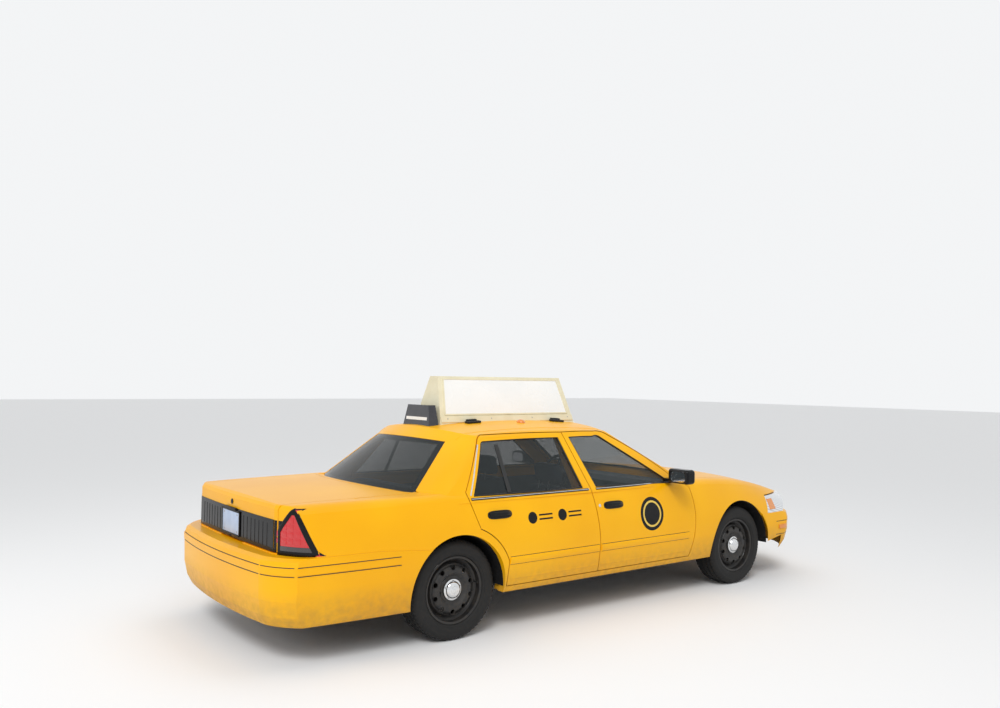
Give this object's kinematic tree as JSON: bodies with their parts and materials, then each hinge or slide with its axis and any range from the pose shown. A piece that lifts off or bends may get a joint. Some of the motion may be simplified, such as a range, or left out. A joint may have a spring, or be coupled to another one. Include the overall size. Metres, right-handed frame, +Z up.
{
  "type": "taxi cab",
  "caption": "Four-door sedan taxi with a tapered roof sign, opening doors, hood and trunk lid, steered front wheels and free-rolling wheels on a separate frame",
  "frame": {"origin": "on the ground under the middle of the car's outline", "axes": "+X forward, +Y left, +Z up"},
  "size_m": [5.5368, 2.306, 1.826],
  "materials": {
    "tyre": "matte",
    "wheel_steel": "satin",
    "tinted_glass": "gloss",
    "body_paint": "gloss",
    "lamp_red": "gloss",
    "lamp_clear": "gloss",
    "chrome_trim": "gloss",
    "black_plastic": "matte",
    "sign_plastic": "satin",
    "seat_fabric": "matte",
    "engine_metal": "satin",
    "chassis_metal": "satin"
  },
  "bodies": {
    "body": {"cowl_panel": "body_paint", "dashboard": "black_plastic", "driveshaft": "chassis_metal", "engine": "engine_metal", "exhaust": "chassis_metal", "floor_pan": "chassis_metal", "frame": "chassis_metal", "front_bumper": "body_paint", "front_fenders": "body_paint", "front_seats": "seat_fabric", "front_suspension": "chassis_metal", "fuel_tank": "black_plastic", "grille": "chrome_trim", "headlamps": "lamp_clear", "radiator": "engine_metal", "rear_axle": "chassis_metal", "rear_bumper": "body_paint", "rear_deck_panel": "body_paint", "rear_seat": "seat_fabric", "rear_suspension": "chassis_metal", "rear_window": "tinted_glass", "roof_light": "sign_plastic", "roof_panel": "body_paint", "roof_sign": "sign_plastic", "side_frames": "body_paint", "steering_wheel": "black_plastic", "tail_lamps": "lamp_red", "wheel_liners": "black_plastic", "windshield": "tinted_glass"},
    "front_door_right": {"front_door_right": "body_paint", "front_door_glass_right": "tinted_glass", "mirror_right": "black_plastic"},
    "front_door_left": {"front_door_left": "body_paint", "front_door_glass_left": "tinted_glass", "mirror_left": "black_plastic"},
    "rear_door_right": {"rear_door_right": "body_paint", "rear_door_glass_right": "tinted_glass"},
    "rear_door_left": {"rear_door_left": "body_paint", "rear_door_glass_left": "tinted_glass"},
    "hood": {"hood": "body_paint"},
    "trunk_lid": {"trunk_lid": "body_paint", "rear_garnish": "black_plastic"},
    "steering_right": {"knuckle_right": "chassis_metal"},
    "steering_left": {"knuckle_left": "chassis_metal"},
    "wheel_front_right": {"tyre_front_right": "tyre", "rim_front_right": "wheel_steel"},
    "wheel_front_left": {"tyre_front_left": "tyre", "rim_front_left": "wheel_steel"},
    "wheel_rear_right": {"tyre_rear_right": "tyre", "rim_rear_right": "wheel_steel"},
    "wheel_rear_left": {"tyre_rear_left": "tyre", "rim_rear_left": "wheel_steel"}
  },
  "joints": [
    {"name": "front_door_right_hinge", "type": "hinge", "parent": "body", "child": "front_door_right", "pos_m": [1.0735, -0.992, 0.65], "axis": [0, 0, 1], "range_deg": [0, 65]},
    {"name": "front_door_left_hinge", "type": "hinge", "parent": "body", "child": "front_door_left", "pos_m": [1.0735, 0.992, 0.65], "axis": [0, 0, -1], "range_deg": [0, 65]},
    {"name": "rear_door_right_hinge", "type": "hinge", "parent": "body", "child": "rear_door_right", "pos_m": [-0.1045, -0.992, 0.65], "axis": [0, 0, 1], "range_deg": [0, 70]},
    {"name": "rear_door_left_hinge", "type": "hinge", "parent": "body", "child": "rear_door_left", "pos_m": [-0.1045, 0.992, 0.65], "axis": [0, 0, -1], "range_deg": [0, 70]},
    {"name": "hood_hinge", "type": "hinge", "parent": "body", "child": "hood", "pos_m": [1.02, 0, 1.01], "axis": [0, -1, 0], "range_deg": [0, 55]},
    {"name": "trunk_lid_hinge", "type": "hinge", "parent": "body", "child": "trunk_lid", "pos_m": [-1.655, 0, 1.03], "axis": [0, 1, 0], "range_deg": [0, 75]},
    {"name": "steer_left", "type": "hinge", "parent": "body", "child": "steering_left", "pos_m": [1.6835, 0.76, 0.345], "axis": [0, 0, 1], "range_deg": [-32, 32]},
    {"name": "steer_right", "type": "hinge", "parent": "body", "child": "steering_right", "pos_m": [1.6835, -0.76, 0.345], "axis": [0, 0, 1], "range_deg": [-32, 32]},
    {"name": "wheel_front_right_spin", "type": "hinge", "parent": "steering_right", "child": "wheel_front_right", "pos_m": [1.6835, -0.805, 0.345], "axis": [0, 1, 0], "continuous": true},
    {"name": "wheel_front_left_spin", "type": "hinge", "parent": "steering_left", "child": "wheel_front_left", "pos_m": [1.6835, 0.805, 0.345], "axis": [0, 1, 0], "continuous": true},
    {"name": "wheel_rear_right_spin", "type": "hinge", "parent": "body", "child": "wheel_rear_right", "pos_m": [-1.3825, -0.795, 0.345], "axis": [0, 1, 0], "continuous": true},
    {"name": "wheel_rear_left_spin", "type": "hinge", "parent": "body", "child": "wheel_rear_left", "pos_m": [-1.3825, 0.795, 0.345], "axis": [0, 1, 0], "continuous": true}
  ],
  "couplings": [
    {"joint": "steer_right", "follows": "steer_left", "ratio": 1}
  ]
}
